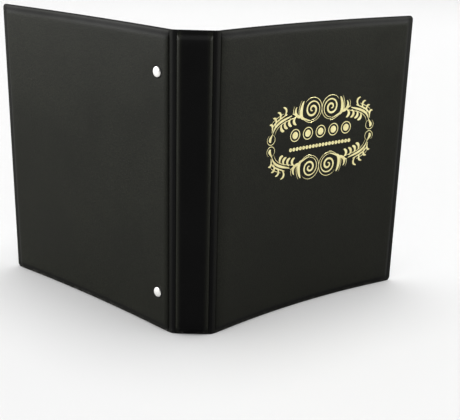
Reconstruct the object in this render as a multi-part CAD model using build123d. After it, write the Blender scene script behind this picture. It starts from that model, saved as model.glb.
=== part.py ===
"""Ring-bound coin album, standing open on its bottom edges.

Millimetres, +Z up. The origin is the middle of the spine's welded bottom edge,
on the surface that the album stands on. The outside of the spine faces -Y, and
both covers swing back towards +Y. Each cover is drawn lying along +X from its
hinge, with +Y into the album, and is then turned to its place. The back cover,
with all that is fixed to it, is the mirror image, on the -X side.
"""
import os
from math import asin, cos, degrees, radians, sin, sqrt, tan

from build123d import *

# Case
album_height = 270.0
spine_width = 29.0
cover_width = 219.5
groove_width = 7.0
vinyl = 0.4
cover_board = 2.0
spine_board = 3.0
seam_margin = 5.5
corner_radius = 4.0
panel_softness = 1.1

# How the case stands: each cover's chord behind the spine's plane, and its bow
back_swing = 40.0
front_swing = 36.0
back_bow = 3.5
front_bow = 8.0

# Ring mechanism, from the groove's edge to its centreline
mechanism_offset = 12.5
seat_gap = 0.05
housing_width = 19.0
housing_length = 224.0
housing_sheet = 0.8
housing_side = 4.6
housing_crown = 5.8
housing_lip = 1.2
ring_heights = (-77.5, -32.5, 32.5, 77.5)
ring_inner_diameter = 20.0
wire_diameter = 3.0
ring_centre = 14.0
ring_foot_angle = 50.0
ring_tip_gap = 0.2
window_margin = 0.8
window_sill = 3.2
blade_sheet = 0.8
blade_length = 212.0
blade_level = 2.6
blade_edge_clearance = 0.15
ring_swing = 9.0

# Rivets
rivet_spacing = 198.0
rivet_shank = 4.0
rivet_head = 9.0
rivet_dome = 1.9
rivet_peen = 6.0
rivet_peen_height = 1.0
rivet_clearance = 0.6

# Levers
lever_inset = 4.0
lever_hub = 2.2
lever_hub_length = 15.0
trunnion_diameter = 1.6
trunnion_clearance = 0.05
lever_tab_width = 12.0
lever_nose_width = 4.0
lever_sheet = 0.7
lever_nose = 3.5
lever_nose_drop = 2.1
lever_reach = 11.0
lever_rise = 2.8

# Pocket leaves, counted from the back cover
leaf_width = 198.0
leaf_height = 240.0
leaf_sheet = 0.6
leaf_offsets = (0.0, 1.4, 2.8, 4.2)
leaf_angles = (3.0, 7.0, 11.0, 15.0)
leaf_hole = 7.0
leaf_hole_edge = 7.5
leaf_hole_play = 0.9
leaf_strip = 15.0
pocket_columns = 5
pocket_rows = 6
weld_width = 1.6
weld_depth = 0.15
leaf_corner = 3.0

# Foil stamp on the front cover, from the groove and from the bottom edge
foil = 0.12
foil_centre = 118.0
foil_height = 165.0
foil_frame = (112.0, 56.0)
foil_band = 3.2
foil_frame_radius = 22.0
foil_coin = 11.0
foil_coin_band = 1.6

# Sizes that follow
hinge_x = (spine_width + groove_width) / 2
half_groove = groove_width / 2
mid_height = album_height / 2
wire_radius = wire_diameter / 2
ring_radius = ring_inner_diameter / 2 + wire_radius
housing_inner = housing_width / 2 - housing_sheet
blade_pivot = housing_inner - blade_edge_clearance
past = 1.0


def bow_radius(bow):
    """Radius of the middle of a cover's vinyl, bowed by this much over its chord."""
    return cover_width**2 / (8 * bow) + bow / 2


def bow_angle(bow):
    """Half of the angle that a bowed cover turns through, in degrees."""
    return degrees(asin(cover_width / 2 / bow_radius(bow)))


def swing_at_hinge(swing, bow):
    """Angle behind the spine's plane at which a cover leaves its hinge."""
    return swing + bow_angle(bow)


def placed(shape, swing, bow, side):
    """A shape drawn in the cover's frame, turned about the hinge to where it stands."""
    turned = Location((hinge_x, 0, 0), (0, 0, swing_at_hinge(swing, bow))) * shape
    return turned if side > 0 else mirror(turned, about=Plane.YZ)


def front(shape):
    return placed(shape, front_swing, front_bow, 1)


def back(shape):
    return placed(shape, back_swing, back_bow, -1)


def bow_point(bow, distance, inward):
    """Point on a bowed cover, so far along it from the groove and so far inside its middle."""
    radius = bow_radius(bow)
    turn = distance / radius
    return (
        half_groove + (radius + inward) * sin(turn),
        -radius + (radius + inward) * cos(turn),
    )


def cover_length(bow):
    """Length of a cover along its bow."""
    return radians(2 * bow_angle(bow)) * bow_radius(bow)


def arc_between(bow, start, end, inward):
    middle = (start + end) / 2
    return ThreePointArc(*[bow_point(bow, at, inward) for at in (start, middle, end)])


def layer(bow, start, end, outer, inner, low, high):
    """A slab that follows the cover's bow."""
    near, far = arc_between(bow, start, end, outer), arc_between(bow, start, end, inner)
    outline = near + far + Line(near @ 0, far @ 0) + Line(near @ 1, far @ 1)
    return Pos(0, 0, low) * extrude(make_face(outline), high - low)


def trimmed(slab, bow):
    """The slab with its two free corners rounded."""
    end = bow_point(bow, cover_length(bow), 0)
    width = end[0] + cover_board
    middle = Plane.XZ * Pos(width / 2, mid_height) * Rectangle(width, album_height)
    prism = extrude(middle, cover_width, both=True)
    free_edges = prism.edges().filter_by(Axis.Y).sort_by(Axis.X)[-2:]
    return slab & Pos(end[0] - width, 0, 0) * fillet(free_edges, corner_radius)


def cover_pieces(bow):
    """Skin, board and lining of one cover, welded together along its edges."""
    length = cover_length(bow)
    far = length - seam_margin
    top = album_height - seam_margin
    lining = trimmed(layer(bow, 0, length, 0, vinyl, 0, album_height), bow)
    flange = trimmed(layer(bow, 0, length, -vinyl, 0, 0, album_height), bow)
    board_area = (vinyl, far - vinyl, -cover_board, 0, seam_margin + vinyl, top - vinyl)
    board = layer(bow, *board_area)
    panel = layer(bow, 0, far, -cover_board - vinyl, 0, seam_margin, top)
    bowed_faces = panel.faces().filter_by(GeomType.CYLINDER)
    panel = softened(panel, min(bowed_faces, key=lambda face: face.radius))
    return flange + panel - board, board, lining


def softened(panel, outer_face):
    """The raised panel with the edge of its outer face rounded."""
    return fillet(outer_face.edges(), panel_softness)


def in_mechanism(shape):
    """A shape drawn in the mechanism's frame, set on the back cover's lining and placed.

    The frame's X runs along the cover, its Y stands up from the lining and its Z is
    the album's height, counted from the middle.
    """
    foot = bow_point(back_bow, mechanism_offset, vinyl)
    lean = degrees(mechanism_offset / bow_radius(back_bow))
    return back(Location((foot[0], foot[1], mid_height), (0, 0, -lean)) * shape)


def box(x_range, y_range, z_range):
    """A box between three pairs of limits."""
    limits = (x_range, y_range, z_range)
    size = [high - low for low, high in limits]
    centre = [(high + low) / 2 for low, high in limits]
    return Pos(*centre) * Box(*size)


def spine_pieces():
    """Skin, board and lining of the spine."""
    half = spine_width / 2
    top = album_height - seam_margin
    lining = box((-half, half), (0, vinyl), (0, album_height))
    flange = box((-half, half), (-vinyl, 0), (0, album_height))
    board = box(
        (vinyl - half, half - vinyl),
        (-spine_board, 0),
        (seam_margin + vinyl, top - vinyl),
    )
    panel = box((-half, half), (-spine_board - vinyl, 0), (seam_margin, top))
    panel = softened(panel, panel.faces().sort_by(Axis.Y)[0])
    return flange + panel - board, board, lining


def hinge_web(swing, bow, side):
    """The welded strip between the spine and a cover, bent to where the cover stands."""
    turn = radians(swing_at_hinge(swing, bow))
    bend = half_groove / tan(turn / 2)

    def point(share, radius):
        x = spine_width / 2 + radius * sin(share * turn)
        return (x, bend - radius * cos(share * turn))

    near, far = (
        ThreePointArc(*[point(share, bend + offset) for share in (0, 0.5, 1)])
        for offset in (vinyl, -vinyl)
    )
    outline = near + far + Line(near @ 0, far @ 0) + Line(near @ 1, far @ 1)
    web = extrude(make_face(outline), album_height)
    return web if side > 0 else mirror(web, about=Plane.YZ)


def arched(half_width, foot, side, crown):
    """Section of an arched strip, from its foot up to its sides and crown."""
    arch = ThreePointArc((-half_width, side), (0, crown), (half_width, side))
    sides = Polyline(
        (half_width, side), (half_width, foot), (-half_width, foot), (-half_width, side)
    )
    return make_face(arch + sides)


def along_height(section, length):
    """A section extruded evenly above and below the mechanism's middle."""
    return extrude(section, length / 2, both=True)


def housing():
    """Arched cover plate of the mechanism, with windows for the rings."""
    outer = arched(housing_width / 2, seat_gap, housing_side, housing_crown)
    floor = seat_gap + housing_sheet
    inner = arched(
        housing_inner, floor, housing_side - housing_sheet, housing_crown - housing_sheet
    )
    shell = along_height(outer, housing_length) - along_height(inner, housing_length)
    mouth = housing_inner - housing_lip
    shell -= box((-mouth, mouth), (0, floor), (-housing_length, housing_length))
    half_window = wire_radius + window_margin
    for height in ring_heights:
        for side in (-1, 1):
            reach = sorted((side * mouth / 2, side * housing_width))
            z_range = (height - half_window, height + half_window)
            shell -= box(reach, (window_sill, housing_crown + past), z_range)
    for side in (-1, 1):
        pivot = Pos(0, blade_level, side * lever_pivot())
        trunnion_hole = Cylinder(trunnion_diameter / 2 + trunnion_clearance, housing_width + past)
        shell -= pivot * Rot(0, 90, 0) * trunnion_hole
        shell -= rivet_bore(side)
    return shell


def lever_pivot():
    """Height of a lever's pivot above the mechanism's middle."""
    return housing_length / 2 - lever_inset


def standing(radius, low, high, height):
    """A round post that stands up from the lining at this height along the album."""
    return Pos(0, (low + high) / 2, height) * Rot(90, 0, 0) * Cylinder(radius, high - low)


def rivet_bore(side):
    """The hole that a rivet fills, through the cover and the housing."""
    reach = housing_crown + past
    return standing(rivet_shank / 2, -reach, reach, side * rivet_spacing / 2)


def dome(radius, height):
    """A round-headed cap on the XY plane, pointing up."""
    sphere = (radius**2 + height**2) / (2 * height)
    cap = Pos(0, 0, height - sphere) * Sphere(sphere)
    return cap & Pos(0, 0, height / 2) * Box(3 * radius, 3 * radius, height)


def rivet(side):
    """Domed rivet from the outside of the back cover to the housing's crown."""
    height = side * rivet_spacing / 2
    outer_face = -(cover_board + 2 * vinyl) - seat_gap
    shank = standing(rivet_shank / 2, outer_face, housing_crown, height)
    head = Pos(0, outer_face, height) * Rot(90, 0, 0) * dome(rivet_head / 2, rivet_dome)
    peen = dome(rivet_peen / 2, rivet_peen_height)
    return shank + head + Pos(0, housing_crown, height) * Rot(-90, 0, 0) * peen


def toggled(shape):
    """A blade drawn level, turned about its outer edge to where the rings are shut."""
    turn = Location((blade_pivot, blade_level, 0), (0, 0, ring_swing / 2))
    return turn * Pos(-blade_pivot, -blade_level, 0) * shape


def ring_half(height):
    """The half ring on the +X side, from its tip down through the blade."""
    centre = (0, ring_centre)
    bend = CenterArc(centre, ring_radius, 90, -90 - ring_foot_angle)
    tail = Line(bend @ 1, bend @ 1 + (bend % 1) * ring_radius / 2)
    section = Plane(origin=bend @ 0, z_dir=bend % 0) * Circle(wire_radius)
    wire = sweep(section, path=bend + tail)
    wire -= box((-past, ring_tip_gap / 2), (0, 3 * ring_centre), (-past * 4, past * 4))
    below = box(
        (-housing_width, housing_width),
        (-ring_centre, blade_level - blade_sheet / 2),
        (-past * 4, past * 4),
    )
    return Pos(0, 0, height) * (wire - toggled(below))


def blade(halves):
    """The toggle blade on the +X side, with holes for its half rings."""
    half_sheet = blade_sheet / 2
    plate = box(
        (blade_edge_clearance, blade_pivot),
        (blade_level - half_sheet, blade_level + half_sheet),
        (-blade_length / 2, blade_length / 2),
    )
    plate = toggled(plate)
    for side in (-1, 1):
        radius = rivet_shank / 2 + rivet_clearance
        plate -= standing(radius, 0, housing_crown, side * rivet_spacing / 2)
    for half in halves:
        plate -= half
    return plate


def lever():
    """The upper lever: hub and trunnions, a nose under the blades and a thumb tab."""
    hub = Rot(0, 90, 0) * Cylinder(lever_hub / 2, lever_hub_length)
    trunnions = Rot(0, 90, 0) * Cylinder(trunnion_diameter / 2, housing_width - trunnion_clearance)
    nose = Polyline(
        (-lever_nose, -lever_nose_drop),
        (lever_hub / 4, -lever_nose_drop),
        (lever_hub / 2, 0),
        (-lever_hub / 2, 0),
        (-lever_hub / 2, lever_sheet - lever_nose_drop),
        (-lever_nose, lever_sheet - lever_nose_drop),
        close=True,
    )
    knee = lever_inset + lever_sheet
    tab = Polyline(
        (0, -lever_hub / 2),
        (knee, -lever_sheet),
        (lever_reach, lever_rise),
        (lever_reach - lever_sheet, lever_rise + lever_sheet),
        (knee - lever_sheet, lever_sheet / 2),
        (0, lever_hub / 2),
        close=True,
    )
    across = Plane(origin=(0, 0, 0), x_dir=(0, 0, 1), z_dir=(-1, 0, 0))
    shape = hub + trunnions
    shape += extrude(across * make_face(nose), lever_nose_width / 2, both=True)
    shape += extrude(across * make_face(tab), lever_tab_width / 2, both=True)
    return Pos(0, blade_level, lever_pivot()) * shape


def leaf(offset, angle):
    """One clear leaf of coin pockets, threaded on the rings."""
    hole_at = sqrt(ring_radius**2 - offset**2) + leaf_hole_play
    near = hole_at - leaf_hole_edge
    far = near + leaf_width
    half_sheet, half_height = leaf_sheet / 2, leaf_height / 2
    sheet = box((near, far), (-half_sheet, half_sheet), (-half_height, half_height))
    sheet = fillet(sheet.edges().filter_by(Axis.Y), leaf_corner)
    for face in (-half_sheet, half_sheet):
        depth = sorted((face, face - weld_depth if face > 0 else face + weld_depth))
        for line in weld_lines(near + leaf_strip, far, half_height):
            sheet -= box(line[0], depth, line[1])
    for height in ring_heights:
        sheet -= Pos(hole_at, 0, height) * Rot(90, 0, 0) * Cylinder(leaf_hole / 2, past * 2)
    turned = Location((0, ring_centre, 0), (0, 0, angle)) * Pos(0, offset, 0)
    return turned * sheet


def weld_lines(start, end, half_height):
    """Limits along the leaf and up it of each line welded between its pockets."""
    column = (end - start - weld_width) / pocket_columns
    row = (2 * half_height - weld_width) / pocket_rows
    lines = []
    for index in range(pocket_columns + 1):
        at = start + index * column
        lines.append(((at, at + weld_width), (-half_height, half_height)))
    for index in range(pocket_rows + 1):
        at = -half_height + index * row
        lines.append(((start, end), (at, at + weld_width)))
    return lines


def foil_stamp():
    """Thin gold foil on the front cover: a rounded frame round a plain coin."""
    width, height = foil_frame
    radius = foil_frame_radius
    frame = RectangleRounded(width, height, radius)
    inner = RectangleRounded(width - 2 * foil_band, height - 2 * foil_band, radius - foil_band)
    coin = Circle(foil_coin) - Circle(foil_coin - foil_coin_band)
    centre = bow_point(front_bow, foil_centre, 0)
    pattern = Plane.XZ * Pos(centre[0], foil_height) * (frame - inner + coin)
    prism = extrude(pattern, cover_width / 2, both=True)
    outer_face = cover_board + vinyl
    skin = layer(
        front_bow, 0, cover_length(front_bow), -outer_face - foil, -outer_face, 0, album_height
    )
    return skin & prism


def case_nodes():
    """The covers, the spine and the strips that join them."""
    nodes = {}
    sides = (("back_cover", back, back_bow), ("front_cover", front, front_bow))
    for name, place, bow in sides:
        for kind, piece in zip(("skin", "board", "lining"), cover_pieces(bow)):
            nodes[f"{name}_{kind}"] = place(piece)
    for side in (-1, 1):
        bore = in_mechanism(rivet_bore(side))
        for kind in ("skin", "board", "lining"):
            nodes[f"back_cover_{kind}"] -= bore
    for kind, piece in zip(("skin", "board", "lining"), spine_pieces()):
        nodes[f"spine_{kind}"] = piece
    nodes["back_hinge_web"] = hinge_web(back_swing, back_bow, -1)
    nodes["front_hinge_web"] = hinge_web(front_swing, front_bow, 1)
    nodes["foil_stamp"] = front(foil_stamp())
    return nodes


def mechanism_nodes():
    """The ring mechanism on the back cover. Its outer side is away from the spine."""
    nodes = {"mechanism_housing": housing()}
    halves = [ring_half(height) for height in ring_heights]
    outer_blade = blade(halves)
    for name, flip in (("outer", False), ("inner", True)):
        nodes[f"{name}_blade"] = mirror(outer_blade, about=Plane.YZ) if flip else outer_blade
        for number, half in enumerate(halves, 1):
            node = f"ring_{number}_{name}_half"
            nodes[node] = mirror(half, about=Plane.YZ) if flip else half
    nodes["lever_top"] = lever()
    nodes["lever_bottom"] = mirror(lever(), about=Plane.XY)
    nodes["rivet_top"] = rivet(1)
    nodes["rivet_bottom"] = rivet(-1)
    for number, (offset, angle) in enumerate(zip(leaf_offsets, leaf_angles), 1):
        nodes[f"leaf_{number}"] = leaf(offset, angle)
    return {name: in_mechanism(shape) for name, shape in nodes.items()}


def main():
    os.makedirs("parts", exist_ok=True)
    for name, shape in {**case_nodes(), **mechanism_nodes()}.items():
        export_step(shape, f"parts/{name}.step")


main()
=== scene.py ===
"""Coin album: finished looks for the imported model, laid out as a Blender add-on."""

import math

import bmesh
import bpy
from bpy.props import FloatProperty, FloatVectorProperty, IntProperty, PointerProperty
from mathutils import Matrix, Vector, noise


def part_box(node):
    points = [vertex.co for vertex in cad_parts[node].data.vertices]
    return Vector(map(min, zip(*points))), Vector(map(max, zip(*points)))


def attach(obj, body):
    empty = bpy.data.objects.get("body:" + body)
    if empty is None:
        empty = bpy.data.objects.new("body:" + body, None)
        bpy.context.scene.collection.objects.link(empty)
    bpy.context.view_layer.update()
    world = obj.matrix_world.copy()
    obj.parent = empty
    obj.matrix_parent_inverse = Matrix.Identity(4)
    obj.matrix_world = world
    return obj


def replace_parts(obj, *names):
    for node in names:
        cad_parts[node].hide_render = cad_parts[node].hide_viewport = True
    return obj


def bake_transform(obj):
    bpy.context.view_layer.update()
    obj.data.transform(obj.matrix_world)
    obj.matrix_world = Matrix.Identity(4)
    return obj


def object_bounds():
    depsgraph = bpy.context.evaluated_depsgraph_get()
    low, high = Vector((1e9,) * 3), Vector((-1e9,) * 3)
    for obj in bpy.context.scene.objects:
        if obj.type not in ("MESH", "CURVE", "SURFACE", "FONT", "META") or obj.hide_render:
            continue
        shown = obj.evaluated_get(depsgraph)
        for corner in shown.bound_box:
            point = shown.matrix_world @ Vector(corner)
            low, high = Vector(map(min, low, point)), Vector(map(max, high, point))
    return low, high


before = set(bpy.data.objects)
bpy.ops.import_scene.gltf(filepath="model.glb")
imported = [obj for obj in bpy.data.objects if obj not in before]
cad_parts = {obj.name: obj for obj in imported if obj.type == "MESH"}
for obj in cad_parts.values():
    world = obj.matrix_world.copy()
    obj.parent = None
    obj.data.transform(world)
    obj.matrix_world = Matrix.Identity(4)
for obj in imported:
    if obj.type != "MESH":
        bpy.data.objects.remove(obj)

CAD_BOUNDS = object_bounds()

bl_info = {
    "name": "Coin album",
    "version": (1, 0, 0),
    "blender": (4, 5, 0),
    "location": "3D View > Sidebar > Coin album",
    "description": "Covers, rings, pocket leaves and foil stamp of a ring-bound coin album",
    "category": "Object",
}

MM = 0.001
SPINE_LOW, SPINE_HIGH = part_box("spine_lining")
ALBUM_HEIGHT = SPINE_HIGH.z - SPINE_LOW.z
SPINE_WIDTH = SPINE_HIGH.x - SPINE_LOW.x


# ---------------------------------------------------------------- settings


def length_setting(name, description, default):
    """A length that can be changed."""
    return FloatProperty(name=name, description=description, default=default, unit="LENGTH")


def angle_setting(name, description, degrees):
    """An angle that can be changed; its default is given in degrees."""
    default = math.radians(degrees)
    return FloatProperty(name=name, description=description, default=default, subtype="ANGLE")


def colour_setting(name, description, default):
    """A colour that can be changed."""
    return FloatVectorProperty(
        name=name, description=description, default=default, size=3, subtype="COLOR"
    )


def power_setting(name, description, default):
    """A lamp's power that can be changed."""
    return FloatProperty(name=name, description=description, default=default, unit="POWER")


class AlbumSizes(bpy.types.PropertyGroup):
    """Sizes of the case, the rings and the leaves."""

    height: length_setting("Height", "Height of the covers", ALBUM_HEIGHT)
    spine_width: length_setting("Spine width", "Width of the spine", SPINE_WIDTH)
    groove: length_setting("Groove", "Width of each welded hinge", 7 * MM)
    cover_width: length_setting(
        "Cover width", "Straight width of a cover from its groove to its free edge", 219.5 * MM
    )
    back_swing: angle_setting("Back swing", "Angle of the back cover behind the spine", 40)
    front_swing: angle_setting("Front swing", "Angle of the front cover behind the spine", 36)
    back_bow: length_setting("Back bow", "How far the back cover bows", 3.5 * MM)
    front_bow: length_setting("Front bow", "How far the front cover bows", 8 * MM)
    seam_margin: length_setting("Seam margin", "Welded rim round a board", 5.5 * MM)
    cover_board: length_setting("Cover board", "Thickness of a cover's board", 2 * MM)
    spine_board: length_setting("Spine board", "Thickness of the spine's board", 3 * MM)
    vinyl: length_setting("Vinyl", "Thickness of skin and lining", 0.4 * MM)
    corner: length_setting("Corner", "Radius of the covers' free corners", 4 * MM)
    mechanism_offset: length_setting(
        "Ring offset", "Distance along the back cover from its groove to the rivets", 12.5 * MM
    )
    rivet_spacing: length_setting("Rivet spacing", "Distance between the rivets", 198 * MM)
    rivet_head: length_setting("Rivet head", "Diameter of a rivet's head", 9 * MM)
    rivet_dome: length_setting("Rivet dome", "Height of a rivet's head", 1.9 * MM)
    ring_centre: length_setting(
        "Ring centre", "Height of the ring centres over the lining", 14 * MM
    )
    ring_radius: length_setting("Ring radius", "Radius of the middle of the ring wire", 11.5 * MM)
    leaf_width: length_setting("Leaf width", "Width of a pocket leaf", 198 * MM)
    leaf_height: length_setting("Leaf height", "Height of a pocket leaf", 240 * MM)
    leaf_strip: length_setting("Leaf strip", "Punched strip along the rings", 15 * MM)
    pocket_columns: IntProperty(
        name="Pocket columns", description="Pockets across a leaf", default=5
    )
    pocket_rows: IntProperty(name="Pocket rows", description="Pockets up a leaf", default=6)


class AlbumLooks(bpy.types.PropertyGroup):
    """Colours and surface values."""

    leather: colour_setting("Leatherette", "Colour of the skin", (0.0030, 0.0032, 0.0020))
    leather_pale: colour_setting(
        "Leatherette bloom", "Colour on the grain's high spots", (0.0107, 0.0114, 0.0072)
    )
    # Painted shade colour: the leatherette darkens towards it in the groove, on the spine's flat,
    # along edges and seams and round the rivets
    leather_painted_shade: colour_setting(
        "Pressed leatherette",
        "Colour where the welding bar flattened the grain",
        (0.0019, 0.0019, 0.0019),
    )
    scuff: colour_setting("Scuffs", "Colour of scuffed vinyl", (0.09, 0.088, 0.08))
    lining: colour_setting("Lining", "Colour of the lining", (0.009, 0.009, 0.0085))
    board: colour_setting("Board", "Colour of the grey board", (0.24, 0.21, 0.17))
    nickel: colour_setting("Nickel", "Colour of the plating", (0.90, 0.89, 0.86))
    steel: colour_setting("Steel", "Colour of the pressed steel", (0.58, 0.58, 0.58))
    foil: colour_setting("Foil", "Colour of the gold foil", (0.74, 0.715, 0.41))
    film: colour_setting("Film", "Tint of the clear vinyl", (0.93, 0.96, 0.97))
    floor: colour_setting("Floor", "Colour of the floor", (0.86, 0.86, 0.86))
    grain_size: length_setting("Grain size", "Width of one pebble of the grain", 1.1 * MM)


class AlbumStage(bpy.types.PropertyGroup):
    """Camera and lights."""

    lens: FloatProperty(name="Lens", description="Focal length", default=69.19, unit="CAMERA")
    place: FloatVectorProperty(
        name="Camera",
        description="Where the camera stands",
        default=(0.03142, -0.71103, 0.37092),
        size=3,
        subtype="TRANSLATION",
        unit="LENGTH",
    )
    down: angle_setting("Tilt", "How far the camera looks down", 19.525)
    roll: angle_setting("Roll", "Turn about the line of sight", 1.481)
    left_light: power_setting("Left light", "Power of the left softbox", 66)
    right_light: power_setting("Right light", "Power of the right softbox", 15.5)
    top_light: FloatProperty(
        name="Top light", description="Overhead light on the floor", default=2.55, min=0
    )
    sky: FloatProperty(
        name="Surroundings", description="Brightness of the studio round it", default=0.3, min=0
    )


def sizes():
    """The album's sizes."""
    return bpy.context.scene.album_sizes


def looks():
    """The album's colours."""
    return bpy.context.scene.album_looks


# ---------------------------------------------------------------- where things are


class Cover:
    """One bowed cover: places points by distance from the groove, inward offset and height."""

    def __init__(self, side):
        size = sizes()
        self.side = side
        bow = size.front_bow if side > 0 else size.back_bow
        swing = size.front_swing if side > 0 else size.back_swing
        self.radius = size.cover_width**2 / (8 * bow) + bow / 2
        half_angle = math.asin(size.cover_width / 2 / self.radius)
        self.turn = swing + half_angle
        self.length = 2 * half_angle * self.radius
        self.start = size.groove / 2
        self.hinge = size.spine_width / 2 + size.groove / 2

    def place(self, along, inward, up):
        angle = along / self.radius
        reach = self.start + (self.radius + inward) * math.sin(angle)
        depth = -self.radius + (self.radius + inward) * math.cos(angle)
        cosine, sine = math.cos(self.turn), math.sin(self.turn)
        across = self.hinge + reach * cosine - depth * sine
        return Vector((self.side * across, reach * sine + depth * cosine, up))

    def inward(self, along):
        """Unit vector into the album at a distance from the groove."""
        return (self.place(along, MM, 0) - self.place(along, 0, 0)).normalized()

    def along(self, distance):
        """Unit vector away from the spine at a distance from the groove."""
        step = self.place(distance + MM, 0, 0) - self.place(distance - MM, 0, 0)
        return step.normalized()


def ring_frame():
    """Foot of the rings on the lining, and the directions along the cover and into the album."""
    cover, size = Cover(-1), sizes()
    foot = cover.place(size.mechanism_offset, size.vinyl, 0)
    return foot, cover.along(size.mechanism_offset), cover.inward(size.mechanism_offset)


# ---------------------------------------------------------------- sheet building


WELD_DISTANCE = 0.002 * MM


def softly(distance, middle, steepness):
    """Share from 0 to 1 that rises smoothly as distance passes middle."""
    return 1 / (1 + math.exp(-max(-60, min(60, (distance - middle) * steepness))))


def shoulder(distance, reach):
    """Share from 0 to 1 that rises as a quarter round over reach."""
    return math.sqrt(1 - (1 - min(1, max(0, distance / reach))) ** 2)


def near(distance, middle, reach):
    """Share that is 1 at middle and fades on both sides of it, over about reach."""
    return math.exp(-(((distance - middle) / reach) ** 2))


def graded(length, fine_reach, fine, coarse):
    """Distances from 0 to length, close together near both ends."""
    stops = [index * fine for index in range(round(fine_reach / fine))]
    middle = length - 2 * fine_reach
    count = max(2, round(middle / coarse))
    inner = [fine_reach + middle * index / count for index in range(count + 1)]
    return stops + inner + [length - stop for stop in reversed(stops)]


def closer(distances, middle, reach, fine):
    """The distances with a finer row of them within reach of middle."""
    count = round(reach / fine)
    outside = [d for d in distances if abs(d - middle) > reach + fine / 2]
    return sorted(outside + [middle + index * fine for index in range(-count, count + 1)])


def rounded(along, up, length, height, corner):
    """Moves a point near a free corner of the sheet inside the rounded corner."""
    over = along - (length - corner)
    below, above = corner - up, up - (height - corner)
    rise = max(below, above)
    if over <= 0 or rise <= 0:
        return along, up
    share = max(over, rise) / math.hypot(over, rise)
    sign = -1 if below > above else 1
    base = corner if sign < 0 else height - corner
    return length - corner + over * share, base + sign * rise * share


def sheet_object(name, columns, rows, point, toward, painted_shade=None):
    """Quad sheet through point(column, row), with its faces turned towards a direction.

    The optional share function gives, from 0 to 1, the painted shade at each place: darkness laid
    into the colour where shade falls in the groove, seams and edges, round the rivets and on the
    spine's unlit flat.
    It is stored on the mesh for the material to read.
    """
    mesh_builder = bmesh.new()
    layer = mesh_builder.verts.layers.float.new("painted_shade") if painted_shade else None
    grid = [[mesh_builder.verts.new(point(column, row)) for row in rows] for column in columns]
    if painted_shade:
        for column, line in zip(columns, grid):
            for row, vertex in zip(rows, line):
                vertex[layer] = painted_shade(column, row)
    for left, right in zip(grid, grid[1:]):
        for index in range(len(rows) - 1):
            corners = (left[index], right[index], right[index + 1], left[index + 1])
            mesh_builder.faces.new(corners)
    return finished(name, mesh_builder, toward)


def finished(name, mesh_builder, toward=None):
    """Smooth-shaded object from a bmesh, its faces turned towards a direction if one is given."""
    bmesh.ops.remove_doubles(mesh_builder, verts=mesh_builder.verts, dist=WELD_DISTANCE)
    if toward is not None:
        mesh_builder.normal_update()
        facing = sum((face.normal * face.calc_area() for face in mesh_builder.faces), Vector())
        if facing.dot(toward) < 0:
            bmesh.ops.reverse_faces(mesh_builder, faces=mesh_builder.faces)
    else:
        bmesh.ops.recalc_face_normals(mesh_builder, faces=mesh_builder.faces)
    mesh = bpy.data.meshes.new(name)
    mesh_builder.to_mesh(mesh)
    mesh_builder.free()
    mesh.polygons.foreach_set("use_smooth", [True] * len(mesh.polygons))
    piece = bpy.data.objects.new(name, mesh)
    bpy.context.scene.collection.objects.link(piece)
    return piece


def dress(piece, material):
    """Gives a piece its material."""
    piece.data.materials.clear()
    piece.data.materials.append(material)
    return piece


def seam_bead(edge_distance):
    """Height of the bead and the pressed line of the weld, by distance from the sheet's edge."""
    bead = 0.08 * MM * near(edge_distance, 2.3 * MM, 0.55 * MM)
    return bead - 0.12 * MM * near(edge_distance, 4.3 * MM, 0.5 * MM)


def ripple(point, reach, height):
    """Slow unevenness of a soft sheet, always outward."""
    return height * (0.5 + 0.5 * noise.noise(point / reach))


# ---------------------------------------------------------------- covers


# Lengths over which the skin comes down to the groove, by side
GROOVE_SLOPES = {-1: 5 * MM, 1: 14 * MM}
# How far outside the board's edge the skin is half way down
OVERHANG = 1.5 * MM
# Width of the painted shade line along the sheet's edge
EDGE_SHADE_WIDTH = 1.1 * MM
# Radius of the painted shadow ring round each rivet
RIVET_SHADOW_RADIUS = 5.6 * MM


def cover_rise(cover, along, up):
    """Share of the board's height at a place, rounded along the edges and beside the groove."""
    size = sizes()
    inside_height = min(up, size.height - up) - size.seam_margin
    inside_edge = cover.length - size.seam_margin - along
    top_and_bottom = softly(inside_height, -OVERHANG, 0.8 / MM)
    beside_groove = shoulder(along, GROOVE_SLOPES[cover.side])
    return top_and_bottom * softly(inside_edge, 0, 1 / MM) * beside_groove


def cover_relief(cover, along, up):
    """How far the cover's skin stands out of its weld plane."""
    size = sizes()
    edge = min(up, size.height - up, cover.length - along)
    rise = cover_rise(cover, along, up)
    relief = size.vinyl + size.cover_board * rise + seam_bead(edge) * (1 - rise)
    relief += rise * ripple(Vector((along, up, cover.side)), 45 * MM, 0.16 * MM)
    if cover.side < 0:
        for rivet_up in rivet_heights():
            away = math.hypot(along - size.mechanism_offset, up - rivet_up)
            relief -= 0.3 * MM * near(away, 0, 6 * MM)
    return relief


def rivet_heights():
    """Heights of the upper and the lower rivet."""
    size = sizes()
    return size.height / 2 + size.rivet_spacing / 2, size.height / 2 - size.rivet_spacing / 2


def with_wall(distances):
    """Adds a closing wall at both ends: pairs of distance and whether it lies on the weld plane."""
    return [(distances[0], 0), *[(d, 1) for d in distances], (distances[-1], 0)]


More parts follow.
